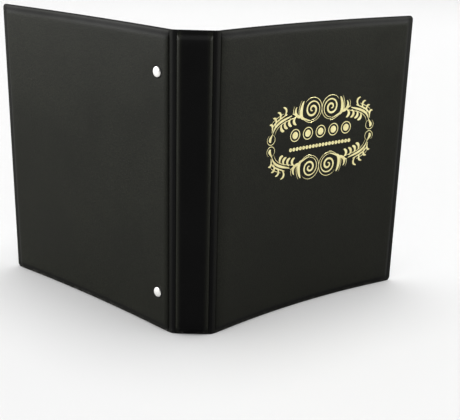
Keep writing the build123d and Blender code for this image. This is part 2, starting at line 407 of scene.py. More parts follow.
def cover_skin(side):
    """Outer skin of a cover, over its board and dished round its rivets."""
    cover, size = Cover(side), sizes()
    columns = graded(cover.length, 9 * MM, 0.3 * MM, 3.5 * MM)
    rows = graded(size.height, 9 * MM, 0.3 * MM, 3.5 * MM)
    if side < 0:
        columns = closer(columns, size.mechanism_offset, 7 * MM, 0.35 * MM)
        for rivet_up in rivet_heights():
            rows = closer(rows, rivet_up, 7 * MM, 0.35 * MM)
    columns, rows = with_wall(columns), with_wall(rows)

    def point(column, row):
        along, up = rounded(column[0], row[0], cover.length, size.height, size.corner)
        standing = column[1] * row[1]
        return cover.place(along, -standing * cover_relief(cover, along, up), up)

    # Painted shade: a dark line along the edges, a dark band over the seam where the skin comes
    # down, and a painted shadow ring round each rivet
    def painted_shade(column, row):
        edge = min(row[0], size.height - row[0], cover.length - column[0])
        share = near(edge, 0, EDGE_SHADE_WIDTH)
        share = max(share, 0.8 * near(edge, size.seam_margin - OVERHANG, 2.4 * MM))
        for rivet_up in rivet_heights() if side < 0 else ():
            away = math.hypot(column[0] - size.mechanism_offset, row[0] - rivet_up)
            share = max(share, 1 - softly(away, RIVET_SHADOW_RADIUS, 4 / MM))
        return share

    name = "front_cover_leatherette" if side > 0 else "back_cover_leatherette"
    return sheet_object(name, columns, rows, point, -cover.inward(cover.length / 2), painted_shade)


class ALBUM_OT_covers(bpy.types.Operator):
    """Padded leatherette skins of the two covers"""

    bl_idname = "coin_album.covers"
    bl_label = "Cover skins"

    def execute(self, context):
        material = leatherette()
        for side, body in ((-1, "back_cover"), (1, "front_cover")):
            skin = dress(cover_skin(side), material)
            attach(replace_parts(skin, f"{body}_skin"), body)
        return {"FINISHED"}


# ---------------------------------------------------------------- spine


def spine_rise(across, up):
    """Share of the spine board's height at a place, rounded down along its sides and ends."""
    size = sizes()
    inside = min(up, size.height - up) - size.seam_margin
    side = size.spine_width / 2 - abs(across)
    return softly(inside, 0, 1 / MM) * shoulder(side, 3.2 * MM)


def spine_relief(across, up):
    """How far the spine's skin stands out of its weld plane."""
    size = sizes()
    edge = min(up, size.height - up)
    rise = spine_rise(across, up)
    relief = size.vinyl + size.spine_board * rise + seam_bead(edge) * (1 - rise)
    return relief + rise * ripple(Vector((across, up, 9)), 60 * MM, 0.1 * MM)


def spine_skin():
    """Outer skin of the spine, with a raised shoulder along each side."""
    size = sizes()
    across = graded(size.spine_width, 3 * MM, 0.15 * MM, 1 * MM)
    columns = with_wall([distance - size.spine_width / 2 for distance in across])
    rows = with_wall(graded(size.height, 8 * MM, 0.3 * MM, 3.5 * MM))

    def point(column, row):
        standing = column[1] * row[1]
        return Vector((column[0], -standing * spine_relief(column[0], row[0]), row[0]))

    # Painted shade: the spine's flat is darker than its shoulders, which face the side lights, with
    # a dark line along its ends
    def painted_shade(column, row):
        edge = min(row[0], size.height - row[0])
        side = size.spine_width / 2 - abs(column[0])
        return max(softly(side, 3.4 * MM, 2.2 / MM), near(edge, 0, EDGE_SHADE_WIDTH))

    return sheet_object("spine_leatherette", columns, rows, point, Vector((0, -1, 0)), painted_shade)


class ALBUM_OT_spine(bpy.types.Operator):
    """Leatherette skin of the spine"""

    bl_idname = "coin_album.spine"
    bl_label = "Spine skin"

    def execute(self, context):
        skin = dress(spine_skin(), leatherette())
        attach(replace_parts(skin, "spine_skin"), "spine")
        return {"FINISHED"}


# ---------------------------------------------------------------- hinge webs


def web_outline(side, share, offset):
    """Point on the bent strip between the spine and a cover; share runs from spine to cover."""
    size, cover = sizes(), Cover(side)
    bend = size.groove / 2 / math.tan(cover.turn / 2)
    angle = share * cover.turn
    across = size.spine_width / 2 + (bend + offset) * math.sin(angle)
    return side * across, bend - (bend + offset) * math.cos(angle)


def hinge_web(side):
    """Welded strip of a hinge, closed round its two faces; low ridges run up it."""
    size = sizes()
    shares = [index / 20 for index in range(21)]
    loop = [(share, 1) for share in shares] + [(share, -1) for share in reversed(shares)]
    loop.append(loop[0])
    rows = [(d, 1) for d in graded(size.height, 6 * MM, 0.5 * MM, 4 * MM)]
    rows = [(0, 0), *rows, (size.height, 0)]

    def point(column, row):
        share, face = column
        ridges = 0.5 + 0.5 * math.cos(share * 4 * math.pi)
        thickness = size.vinyl * (0.8 + 0.18 * ridges) * row[1]
        across, depth = web_outline(side, share, face * thickness)
        return Vector((across, depth, row[0]))

    # Painted shade: the hinge strip is darkened, most towards the spine, where the deep groove lies
    # in shade
    def painted_shade(column, row):
        return 1 - 0.5 * softly(column[0], 0.62, 18)

    name = "front_hinge_strip" if side > 0 else "back_hinge_strip"
    return sheet_object(name, loop, rows, point, None, painted_shade)


class ALBUM_OT_hinges(bpy.types.Operator):
    """Welded hinge strips that bend between the spine and the covers"""

    bl_idname = "coin_album.hinges"
    bl_label = "Hinge strips"

    def execute(self, context):
        material = leatherette()
        ends = {
            side: [Vector((*web_outline(side, share, 0), sizes().height / 2)) for share in (0, 1)]
            for side in (-1, 1)
        }
        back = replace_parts(dress(hinge_web(-1), material), "back_hinge_web")
        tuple(ends[-1][1])
        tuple(ends[-1][0])
        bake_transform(back)
        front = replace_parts(dress(hinge_web(1), material), "front_hinge_web")
        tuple(ends[1][0])
        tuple(ends[1][1])
        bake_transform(front)
        return {"FINISHED"}


# ---------------------------------------------------------------- linings and boards


def lining_relief(edge):
    """Thickness of the lining, pressed thin along the weld and left full inside it."""
    thin = 0.16 * MM * near(edge, 2.3 * MM, 0.6 * MM)
    return sizes().vinyl - thin - 0.20 * MM * near(edge, 5.2 * MM, 0.4 * MM)


def cover_lining(side):
    """Inner sheet of a cover."""
    cover, size = Cover(side), sizes()
    columns = with_wall(graded(cover.length, 7 * MM, 0.35 * MM, 4 * MM))
    rows = with_wall(graded(size.height, 7 * MM, 0.35 * MM, 4 * MM))

    def point(column, row):
        along, up = rounded(column[0], row[0], cover.length, size.height, size.corner)
        edge = min(up, size.height - up, cover.length - along)
        return cover.place(along, column[1] * row[1] * lining_relief(edge), up)

    name = "front_cover_inner_sheet" if side > 0 else "back_cover_inner_sheet"
    return sheet_object(name, columns, rows, point, cover.inward(cover.length / 2))


def spine_lining():
    """Inner sheet of the spine."""
    size = sizes()
    columns = with_wall([size.spine_width * (index / 24 - 0.5) for index in range(25)])
    rows = with_wall(graded(size.height, 7 * MM, 0.35 * MM, 4 * MM))

    def point(column, row):
        edge = min(row[0], size.height - row[0])
        return Vector((column[0], column[1] * row[1] * lining_relief(edge), row[0]))

    return sheet_object("spine_inner_sheet", columns, rows, point, Vector((0, 1, 0)))


class ALBUM_OT_linings(bpy.types.Operator):
    """Inner sheets of the covers and the spine"""

    bl_idname = "coin_album.linings"
    bl_label = "Linings"

    def execute(self, context):
        material = lining_vinyl()
        for side, body in ((-1, "back_cover"), (1, "front_cover")):
            sheet = dress(cover_lining(side), material)
            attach(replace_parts(sheet, f"{body}_lining"), body)
        sheet = dress(spine_lining(), material)
        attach(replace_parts(sheet, "spine_lining"), "spine")
        return {"FINISHED"}


BOARD_PLAY = 0.03 * MM
BOARD_SEAT = 0.01 * MM


def stiffener(name, stops, height_of, place):
    """Grey board that fills the space under a skin.

    stops are its distances across, height_of(across, up) is the skin's height over it and
    place(across, inward, up) puts a point on the piece.
    """
    size = sizes()
    bottom = size.seam_margin + size.vinyl
    height = size.height - 2 * size.seam_margin - 2 * size.vinyl
    columns = with_wall(stops)
    rows = with_wall([height * index / 40 for index in range(41)])
    back = [(across, 0) for across, standing in reversed(columns) if standing]

    def point(column, row):
        up = bottom + row[0]
        thickness = height_of(column[0], up) - BOARD_PLAY
        return place(column[0], -BOARD_SEAT - thickness * column[1] * row[1], up)

    return sheet_object(name, [*columns, *back], rows, point, None)


def cover_board(side):
    """Grey board of a cover, sloped along its groove side to carry the skin down to the weld."""
    cover, size = Cover(side), sizes()
    length = cover.length - size.seam_margin - 2 * size.vinyl
    stops = [size.vinyl + length * index / 60 for index in range(61)]

    def height_of(along, up):
        return size.cover_board * cover_rise(cover, along, up)

    name = "front_cover_stiffener" if side > 0 else "back_cover_stiffener"
    return stiffener(name, stops, height_of, cover.place)


def spine_stiffener():
    """Grey board of the spine."""
    size = sizes()
    width = size.spine_width - 2 * size.vinyl
    stops = [width * (index / 40 - 0.5) for index in range(41)]

    def height_of(across, up):
        return size.spine_board * spine_rise(across, up)

    def place(across, inward, up):
        return Vector((across, inward, up))

    return stiffener("spine_stiffener", stops, height_of, place)


class ALBUM_OT_boards(bpy.types.Operator):
    """Grey stiffener boards inside the covers and the spine"""

    bl_idname = "coin_album.boards"
    bl_label = "Boards"

    def execute(self, context):
        material = grey_board()
        for side, body in ((-1, "back_cover"), (1, "front_cover")):
            board = dress(cover_board(side), material)
            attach(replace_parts(board, f"{body}_board"), body)
        board = dress(spine_stiffener(), material)
        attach(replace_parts(board, "spine_board"), "spine")
        return {"FINISHED"}


def paint(name, material):
    """Gives a carried-over CAD node a material."""
    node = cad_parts[name]
    if not node.material_slots:
        node.data.materials.append(material)
    for slot in node.material_slots:
        slot.material = material
    return node


# ---------------------------------------------------------------- rivets and rings


def turned(name, profile, foot, axis, steps=72):
    """Round piece turned about an axis through foot; profile holds pairs of radius and height."""
    mesh_builder = bmesh.new()
    aside = axis.cross(Vector((0, 0, 1))).normalized()
    upright = axis.cross(aside).normalized()
    rings = []
    for radius, height in profile:
        ring = []
        for index in range(steps):
            angle = 2 * math.pi * index / steps
            arm = aside * math.cos(angle) + upright * math.sin(angle)
            ring.append(mesh_builder.verts.new(foot + axis * height + arm * radius))
        rings.append(ring)
    for low, high in zip(rings, rings[1:]):
        for index in range(steps):
            nearby = (index + 1) % steps
            mesh_builder.faces.new((low[index], low[nearby], high[nearby], high[index]))
    return finished(name, mesh_builder)


CAP_CLEARANCE = 0.06 * MM


def rivet_profile():
    """Radius and height of a rivet's domed cap, from its tip to its foot in the dished skin."""
    size = sizes()
    head, dome = size.rivet_head / 2, size.rivet_dome
    profile = [(0.01 * MM, dome)]
    for index in range(1, 13):
        angle = math.pi / 2 * index / 12
        profile.append((head * math.sin(angle), dome * (0.1 + 0.9 * math.cos(angle))))
    profile += [(head, -0.1 * dome), (head * 0.96, -0.2 * dome), (head * 0.5, -0.2 * dome)]
    return profile


class ALBUM_OT_rivets(bpy.types.Operator):
    """Nickel-plated rivets: domed heads outside, peened shanks inside"""

    bl_idname = "coin_album.rivets"
    bl_label = "Rivets"

    def execute(self, context):
        cover, size = Cover(-1), sizes()
        outside = -cover.inward(size.mechanism_offset)
        material = bright_nickel()
        for name, up in zip(("rivet_top", "rivet_bottom"), rivet_heights()):
            paint(name, material)
            foot = cover.place(size.mechanism_offset, -size.cover_board - size.vinyl, up)
            cap = turned(f"{name}_cap", rivet_profile(), foot + outside * CAP_CLEARANCE, outside)
            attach(dress(cap, material), "back_cover")
        return {"FINISHED"}


class ALBUM_OT_rings(bpy.types.Operator):
    """Ring mechanism: plated rings, housing, blades and levers"""

    bl_idname = "coin_album.rings"
    bl_label = "Ring mechanism"

    def execute(self, context):
        nickel, steel = bright_nickel(), pressed_steel()
        ring_halves = [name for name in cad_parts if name.startswith("ring_")]
        for name in (*ring_halves, "mechanism_housing"):
            soften(paint(name, nickel), 0.12 * MM)
        for name in ("lever_top", "lever_bottom"):
            soften(paint(name, nickel), 0.15 * MM)
        for name in ("outer_blade", "inner_blade"):
            soften(paint(name, steel), 0.1 * MM)
        return {"FINISHED"}


def soften(node, width):
    """Breaks a node's sharp edges with a small bevel and smooth shading."""
    bevel = node.modifiers.new("broken_edges", "BEVEL")
    bevel.width = width
    bevel.segments = 2
    bevel.limit_method = "ANGLE"
    bevel.angle_limit = math.radians(40)
    bevel.harden_normals = False
    shade = node.modifiers.new("even_shading", "WEIGHTED_NORMAL")
    shade.keep_sharp = True
    return node


# ---------------------------------------------------------------- leaves


LEAF_OFFSETS = (0, 1.4 * MM, 2.8 * MM, 4.2 * MM)
LEAF_ANGLES = tuple(math.radians(degrees) for degrees in (3, 7, 11, 15))
RING_HEIGHTS = (-77.5 * MM, -32.5 * MM, 32.5 * MM, 77.5 * MM)
LEAF_CORNER = 3 * MM
HOLE_RADIUS = 3.5 * MM
HOLE_TO_EDGE = 7.5 * MM
HOLE_PLAY = 0.9 * MM
POCKET_WELD = 1.6 * MM
FULL_HALF, THIN_HALF = 0.29 * MM, 0.14 * MM
MOUTH_REACH, MOUTH_WIDTH = 2.2 * MM, 0.9 * MM


def weld_stops(start, end, count):
    """Distances across a row of pockets, close together beside each weld line."""
    weld, fine = POCKET_WELD, 3 * MM
    pitch = (end - start - weld) / count
    beside = (0.35 * MM, 0.9 * MM, 2.2 * MM)
    steps = (*(-step for step in beside), 0, weld / 2, weld, *(weld + step for step in beside))
    stops = set()
    for index in range(count + 1):
        line = start + index * pitch
        stops |= {round(line + step, 6) for step in steps if start <= line + step <= end}
        if index < count:
            inner = pitch - weld - 2 * fine
            stops |= {round(line + weld + fine + inner * part / 6, 6) for part in range(7)}
    return sorted(stops)


def in_pocket(across, up, start, end, half_height):
    """A place's distance across its pocket and the pocket's width, then the same up it."""
    size = sizes()
    width = (end - start - POCKET_WELD) / size.pocket_columns
    height = (2 * half_height - POCKET_WELD) / size.pocket_rows
    return (across - start) % width, width, (up + half_height) % height, height


def on_weld(across, up, start, end, half_height):
    """Whether a place on a leaf is on a weld line or on the folded mouth of a pocket."""
    if across < start:
        return False
    in_width, _, in_height, height = in_pocket(across, up, start, end, half_height)
    on_mouth = 0 < height - in_height - MOUTH_REACH + MOUTH_WIDTH < MOUTH_WIDTH
    return in_width < POCKET_WELD or in_height < POCKET_WELD or on_mouth


def pocket_swell(across, up, start, end, half_height):
    """Half thickness of a leaf: thin on its weld lines and full inside its pockets."""
    if across < start:
        return FULL_HALF * 0.8
    in_width, width, in_height, height = in_pocket(across, up, start, end, half_height)
    beside = min(in_width - POCKET_WELD, width - in_width)
    from_weld = min(beside, in_height - POCKET_WELD, height - in_height)
    swell = softly(from_weld, 0.5 * MM, 5 / MM)
    mouth = 0.06 * MM * near(height - in_height, 4 * MM, 0.5 * MM)
    crown = 0.9 + 0.1 * math.cos(in_width * 90)
    return min(0.3 * MM, THIN_HALF + (FULL_HALF - THIN_HALF) * swell * crown + mouth * swell)


def closed_leaf(columns, rows, place):
    """Thin closed sheet; place(across, up, face) gives a point on its face, which is 1 or -1."""
    mesh_builder = bmesh.new()
    top, bottom = (
        [[mesh_builder.verts.new(place(across, up, face)) for up in rows] for across in columns]
        for face in (1, -1)
    )
    wide, tall = len(columns), len(rows)
    for i in range(wide - 1):
        for j in range(tall - 1):
            corners = ((i, j), (i + 1, j), (i + 1, j + 1), (i, j + 1))
            mesh_builder.faces.new([top[k][m] for k, m in corners])
            mesh_builder.faces.new([bottom[k][m] for k, m in (corners[0], *corners[:0:-1])])
    rim = [(i, 0) for i in range(wide)] + [(wide - 1, j) for j in range(1, tall)]
    rim += [(i, tall - 1) for i in range(wide - 2, -1, -1)]
    rim += [(0, j) for j in range(tall - 2, 0, -1)]
    for (i, j), (k, m) in zip(rim, rim[1:] + rim[:1]):
        mesh_builder.faces.new((top[i][j], bottom[i][j], bottom[k][m], top[k][m]))
    return mesh_builder


def leaf_piece(index):
    """One pocket leaf, hanging from the rings at its own angle."""
    size = sizes()
    foot, outward, inward = ring_frame()
    angle, offset = LEAF_ANGLES[index], LEAF_OFFSETS[index]
    across_way = outward * math.cos(angle) + inward * math.sin(angle)
    face_way = inward * math.cos(angle) - outward * math.sin(angle)
    origin = foot + inward * size.ring_centre + face_way * offset
    hole_at = math.sqrt(size.ring_radius**2 - offset**2) + HOLE_PLAY
    edge = hole_at - HOLE_TO_EDGE
    far, half_height = edge + size.leaf_width, size.leaf_height / 2
    start = edge + size.leaf_strip
    strip = [edge + step * MM for step in (0, 0.3, 1, 5, 10)] + [start - 0.5 * MM]
    columns = strip + weld_stops(start, far, size.pocket_columns)
    rows = weld_stops(-half_height, half_height, size.pocket_rows)

    def place(across, up, face):
        flat_across, flat_up = rounded_leaf(across, up, edge, far, half_height)
        depth = face * pocket_swell(across, up, start, far, half_height)
        flat = origin + across_way * flat_across + face_way * depth
        return flat + Vector((0, 0, size.height / 2 + flat_up))

    leaf = finished(f"pocket_leaf_{index + 1}", closed_leaf(columns, rows, place))
    punch(leaf, origin + across_way * hole_at, face_way, across_way)
    leaf.data.materials.clear()
    for material in (clear_vinyl(), frosted_weld()):
        leaf.data.materials.append(material)
    frost_welds(leaf, origin, across_way, start, far, half_height)
    return leaf


def frost_welds(leaf, origin, across_way, start, far, half_height):
    """Gives the faces on weld lines and pocket mouths the second material."""
    for face in leaf.data.polygons:
        offset = face.center - origin
        across, up = offset.dot(across_way), face.center.z - sizes().height / 2
        face.material_index = int(on_weld(across, up, start, far, half_height))


def rounded_leaf(across, up, edge, far, half_height):
    """Rounds the four corners of a leaf."""
    middle = (edge + far) / 2
    sign = 1 if across > middle else -1
    reach, height = (far - edge) / 2, 2 * half_height
    out, over = rounded(abs(across - middle), up + half_height, reach, height, LEAF_CORNER)
    return middle + sign * out, over - half_height


def punch(leaf, at, axis, aside):
    """Cuts the ring holes through a leaf."""
    cutter_builder = bmesh.new()
    for up in RING_HEIGHTS:
        ends = []
        for side in (-2 * MM, 2 * MM):
            circle = []
            for index in range(40):
                angle = 2 * math.pi * index / 40
                arm = aside * math.cos(angle) + Vector((0, 0, 1)) * math.sin(angle)
                centre = at + axis * side + Vector((0, 0, sizes().height / 2 + up))
                circle.append(cutter_builder.verts.new(centre + arm * HOLE_RADIUS))
            ends.append(circle)
            cutter_builder.faces.new(circle)
        for index in range(40):
            nearby = (index + 1) % 40
            cutter_builder.faces.new(
                (ends[0][index], ends[0][nearby], ends[1][nearby], ends[1][index])
            )
    cutter = finished("hole_punch", cutter_builder)
    cut = leaf.modifiers.new("ring_holes", "BOOLEAN")
    cut.object, cut.operation, cut.solver = cutter, "DIFFERENCE", "EXACT"
    graph = bpy.context.evaluated_depsgraph_get()
    punched = bpy.data.meshes.new_from_object(leaf.evaluated_get(graph))
    leaf.modifiers.clear()
    leaf.data = punched
    bpy.data.objects.remove(cutter)
    if not punched.polygons:
        raise RuntimeError("the ring holes left nothing of the leaf")


class ALBUM_OT_leaves(bpy.types.Operator):
    """Clear vinyl leaves with welded coin pockets"""

    bl_idname = "coin_album.leaves"
    bl_label = "Pocket leaves"

    def execute(self, context):
        for index in range(len(LEAF_ANGLES)):
            leaf = leaf_piece(index)
            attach(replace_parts(leaf, f"leaf_{index + 1}"), f"leaf_{index + 1}")
        return {"FINISHED"}


# ---------------------------------------------------------------- foil stamp


def curve_between(start, start_pull, end_pull, end, steps=18):
    """Points along a cubic curve from start to end."""
    points = []
    for index in range(steps + 1):
        t = index / steps
        u = 1 - t
        points.append(
            start * u**3 + start_pull * (3 * u * u * t) + end_pull * (3 * u * t * t) + end * t**3
        )
    return points


def spiral(centre, outer, inner, start, turns, steps=64):
    """Points winding from an outer to an inner radius round a centre."""
    points = []
    for index in range(steps + 1):
        share = index / steps
        angle = start + turns * 2 * math.pi * share
        radius = outer + (inner - outer) * share
        points.append(centre + Vector((math.cos(angle), math.sin(angle))) * radius)
    return points


FOIL_ALONG, FOIL_UP = 118 * MM, 165 * MM


class FoilFrame:
    """Scroll frame on its own flat plane: millimetres along the cover and up from its middle."""

    half_width = 63.5
    half_height = 38.6
    squareness = 2.75
    outline = 0.62

    def rim(self, degrees, inset):
        """Point on the outline, moved in by inset; 0 degrees is the side and 90 the top."""
        angle = math.radians(degrees)
        power = 2 / self.squareness
        across = (self.half_width - inset) * abs(math.cos(angle)) ** power
        return Vector((across, (self.half_height - inset) * abs(math.sin(angle)) ** power))

    def sweep(self, low, high, start_inset, end_inset, steps=26):
        """Line along the outline between two angles while its inset changes."""
        points = []
        for index in range(steps + 1):
            share = index / steps
            eased = share * share * (3 - 2 * share)
            inset = start_inset + (end_inset - start_inset) * eased
            points.append(self.rim(low + (high - low) * share, inset))
        return points

    def curl(self, degrees, lean, root, tip):
        """Leaf that leaves the stem along it and hooks over at its tip."""
        points = (
            self.rim(degrees, root),
            self.rim(degrees + lean * 0.8, root * 0.9 + tip * 0.1),
            self.rim(degrees + lean * 1.25, root * 0.35 + tip * 0.65),
            self.rim(degrees + lean * 0.8, tip),
        )
        return curve_between(*points, 14)

    def stems(self):
        """Nested sweeps round the corner."""
        return [
            (self.sweep(13, 55, 5.4, 10.6), 2.2, 0.5),
            (self.sweep(17, 50, 3.0, 6.9), 1.4, 0.5),
            (self.sweep(24, 46, 0.9, 4.0), self.outline, 0.5),
            (self.sweep(11, 58, 8.0, 13.6), self.outline, 0.5),
        ]

    def leaves(self):
        """Curled leaves on both sides of the stems."""
        strokes = []
        for index in range(4):
            strokes.append((self.curl(13 + 10 * index, 10, 4.0 + 0.9 * index, -0.9), 2.0, 0.62))
        for index in range(4):
            curl = self.curl(61 - 9.5 * index, -10, 13.4 - index, 20.6 - 1.3 * index)
            strokes.append((curl, 2.7, 0.6))
        return strokes

    def scroll(self):
        """Spiral beside the middle of the top, with a bud on its outer side."""
        eye = Vector((11.2, self.half_height - 11.4))
        joint = self.rim(57, 9.6)
        inner = self.rim(60, 12.0)
        low = eye + Vector((0.8, -10.2))
        under = low + Vector((-1, -2))
        joining = curve_between(low, low + Vector((6, 0)), joint - Vector((6, 0.4)), joint)
        beside = curve_between(under, low + Vector((7, -2.2)), inner - Vector((7, 0.6)), inner)
        strokes = [
            (spiral(eye, 9.6, 0.8, math.radians(-88), -2.05, 90), 1.9, 0.6),
            (spiral(eye, 11.3, 11.0, math.radians(-84), -0.66, 44), self.outline, 0.5),
            (joining, 1.5, 0.5),
            (beside, self.outline, 0.5),
        ]
        for index in range(2):
            root = eye + Vector((8.6 + 3.4 * index, -7.4 + 1.6 * index))
            tip = eye + Vector((10.4 + 8.2 * index, 8.6 - 4.4 * index))
            bulge = Vector((6.5, -1.0 + index))
            fold = tip + Vector((3.6, -5.0))
            strokes.append((curve_between(root, root + bulge, fold, tip), 3.4 - 0.8 * index, 0.45))
            out = Vector((2.7, 0.9))
            pulls = (root + bulge + out * 1.1, fold + out * 0.9)
            outer = curve_between(root + out, *pulls, tip + out)
            strokes.append((outer, self.outline, 0.5))
        return strokes

    def drop(self):
        """Looped drop at the middle of the side."""
        centre = Vector((self.half_width - 4.6, 5.4))
        neck = self.rim(13, 5.2)
        pulls = (neck + Vector((0.6, -3)), centre + Vector((3.4, 0.4)))
        drop = curve_between(neck, *pulls, centre + Vector((0.2, -2.2)))
        loop = spiral(centre, 4.6, 4.6, math.radians(60), -0.86, 40)
        return [(loop, self.outline, 0.5), (drop, 2.9, 0.72)]

    def quarter(self):
        """Strokes of one quarter: a line, its widest width, and where along it that width is."""
        return [*self.stems(), *self.leaves(), *self.scroll(), *self.drop()]

    def coins(self):
        """Closed circles of the plain coins and the beads under them."""
        circles = []
        for index in range(5):
            middle = Vector((15.2 * (index - 2), 5.6))
            circles.append((spiral(middle, 5.5, 5.5, 0, 1, 48), 0.8))
            circles.append((spiral(middle, 1.7, 1.7, 0, 1, 36), 3.2))
        for index in range(19):
            middle = Vector((3.9 * (index - 9), -7.4))
            circles.append((spiral(middle, 1.0, 1.0, 0, 1, 16), 1.5))
        return circles


def stroke_width(share, peak):
    """Share of the widest width along a stroke that is widest at peak."""
    bent = share ** (math.log(0.5) / math.log(peak))
    return 0.2 + 0.8 * math.sin(math.pi * bent) ** 0.7


def stroke_mesh(mesh_builder, points, width, place, peak=None):
    """Low domed ribbon of foil along a line; without a peak it is a closed ring of even width."""
    count = len(points) - 1
    previous = None
    for index, point in enumerate(points):
        ahead = points[min(index + 1, count)] - points[max(index - 1, 0)]
        if peak is None and index in (0, count):
            ahead = points[1] - points[count - 1]
        side = Vector((-ahead.y, ahead.x)).normalized()
        half = width / 2 * (stroke_width(index / count, peak) if peak else 1)
        row = [
            mesh_builder.verts.new(place(point + side * half * step, lift))
            for step, lift in ((-1, 0.02), (-0.6, 0.07), (0.6, 0.07), (1, 0.02))
        ]
        if previous:
            for left in range(3):
                near_edge, far_edge = previous[left : left + 2], row[left : left + 2]
                mesh_builder.faces.new((*near_edge, *reversed(far_edge)))
        previous = row


def foil_stamp():
    """Foil frame and coins, laid over the front cover's skin."""
    cover = Cover(1)
    frame_shape = FoilFrame()
    mesh_builder = bmesh.new()

    def place(point, lift):
        along = FOIL_ALONG + point.x * MM
        up = FOIL_UP + point.y * MM
        return cover.place(along, -cover_relief(cover, along, up) - lift * MM, up)

    for across_sign in (1, -1):
        for up_sign in (1, -1):
            for line, width, peak in frame_shape.quarter():
                mirrored = [Vector((p.x * across_sign, p.y * up_sign)) for p in line]
                stroke_mesh(mesh_builder, mirrored, width, place, peak)
    for line, width in frame_shape.coins():
        stroke_mesh(mesh_builder, line, width, place)
    outward = -cover.inward(FOIL_ALONG)
    bmesh.ops.remove_doubles(mesh_builder, verts=mesh_builder.verts, dist=0.001 * MM)
    mesh_builder.normal_update()
    wrong = [face for face in mesh_builder.faces if face.normal.dot(outward) < 0]
    bmesh.ops.reverse_faces(mesh_builder, faces=wrong)
    return finished("gold_foil_frame", mesh_builder, outward)


class ALBUM_OT_foil(bpy.types.Operator):
    """Gold foil scroll frame and plain coins on the front cover"""

    bl_idname = "coin_album.foil"
    bl_label = "Foil stamp"

    def execute(self, context):
        stamp = dress(foil_stamp(), gold_foil())
        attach(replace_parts(stamp, "foil_stamp"), "front_cover")
        return {"FINISHED"}


# ---------------------------------------------------------------- shader groups


def new_group(name, inputs, outputs):
    """Empty shader group with float inputs and named outputs; returns it with its two ends."""
    group = bpy.data.node_groups.new(name, "ShaderNodeTree")
    for label, value in inputs:
        socket = group.interface.new_socket(label, in_out="INPUT", socket_type="NodeSocketFloat")
        socket.default_value = value
    for label, kind in outputs:
        group.interface.new_socket(label, in_out="OUTPUT", socket_type=kind)
    start = group.nodes.new("NodeGroupInput")
    end = group.nodes.new("NodeGroupOutput")
    return group, start, end


def feed(tree, socket, value):
    """Links a socket to the input if it is one, or sets the input to the value."""
    if hasattr(value, "links"):
        tree.links.new(value, socket)
    else:
        socket.default_value = value


def maths(tree, operation, *values):
    """Math node with each input a value or a linked socket."""
    node = tree.nodes.new("ShaderNodeMath")
    node.operation = operation
    for socket, value in zip(node.inputs, values):
        feed(tree, socket, value)
    return node.outputs[0]


def object_place(tree, scale):
    """Object coordinates times a scale."""
    place = tree.nodes.new("ShaderNodeTexCoord")
    stretched = tree.nodes.new("ShaderNodeVectorMath")
    stretched.operation = "SCALE"
    tree.links.new(place.outputs["Object"], stretched.inputs[0])
    feed(tree, stretched.inputs["Scale"], scale)
    return stretched.outputs[0]


def noise_value(tree, vector, scale, detail=3, roughness=0.55):
    """Noise texture's value at a vector."""
    node = tree.nodes.new("ShaderNodeTexNoise")
    for label, value in (("Scale", scale), ("Detail", detail), ("Roughness", roughness)):
        node.inputs[label].default_value = value
    tree.links.new(vector, node.inputs["Vector"])
    return node.outputs[0]


def stretch(tree, value, low, high, to_low, to_high):
    """Smoothly maps a range of values to another range."""
    node = tree.nodes.new("ShaderNodeMapRange")
    node.interpolation_type = "SMOOTHSTEP"
    ends = {"From Min": low, "From Max": high, "To Min": to_low, "To Max": to_high}
    for label, number in ends.items():
        feed(tree, node.inputs[label], number)
    tree.links.new(value, node.inputs["Value"])
    return node.outputs[0]


def grain_group():
    """Pebbled grain: a height for bumps and a mask of its high spots."""
    name = "album_pebble_grain"
    if name in bpy.data.node_groups:
        return bpy.data.node_groups[name]
    group, start, end = new_group(
        name,
        [("Pebbles per metre", 900), ("Crease", 0.5)],
        [("Height", "NodeSocketFloat"), ("High spots", "NodeSocketFloat")],
    )
    base = object_place(group, start.outputs["Pebbles per metre"])
    warp = group.nodes.new("ShaderNodeVectorMath")
    warp.operation = "ADD"
    push = group.nodes.new("ShaderNodeTexNoise")
    push.inputs["Scale"].default_value = 0.6
    group.links.new(base, push.inputs["Vector"])
    group.links.new(base, warp.inputs[0])
    group.links.new(push.outputs["Color"], warp.inputs[1])
    cells = group.nodes.new("ShaderNodeTexVoronoi")
    cells.feature = "SMOOTH_F1"
    cells.inputs["Scale"].default_value = 1.0
    cells.inputs["Smoothness"].default_value = 0.35
    group.links.new(warp.outputs[0], cells.inputs["Vector"])
    pebble = maths(group, "SUBTRACT", 1.0, cells.outputs["Distance"])
    fine = noise_value(group, base, 3.1, 2)
    height = maths(group, "MULTIPLY_ADD", fine, start.outputs["Crease"], pebble)
    group.links.new(height, end.inputs["Height"])
    group.links.new(stretch(group, pebble, 0.35, 0.85, 0.0, 1.0), end.inputs["High spots"])
    return group


def mottle_group():
    """Slow cloudy variation, as handled and stored sheets have."""
    name = "album_mottle"
    if name in bpy.data.node_groups:
        return bpy.data.node_groups[name]
    group, start, end = new_group(
        name, [("Patches per metre", 30), ("Contrast", 0.5)], [("Mask", "NodeSocketFloat")]
    )
    base = object_place(group, start.outputs["Patches per metre"])
    cloudy = noise_value(group, base, 1.0, 5, 0.6)
    swing = maths(group, "SUBTRACT", cloudy, 0.5)
    swing = maths(group, "MULTIPLY_ADD", swing, start.outputs["Contrast"], 0.5)
    group.links.new(swing, end.inputs["Mask"])
    return group


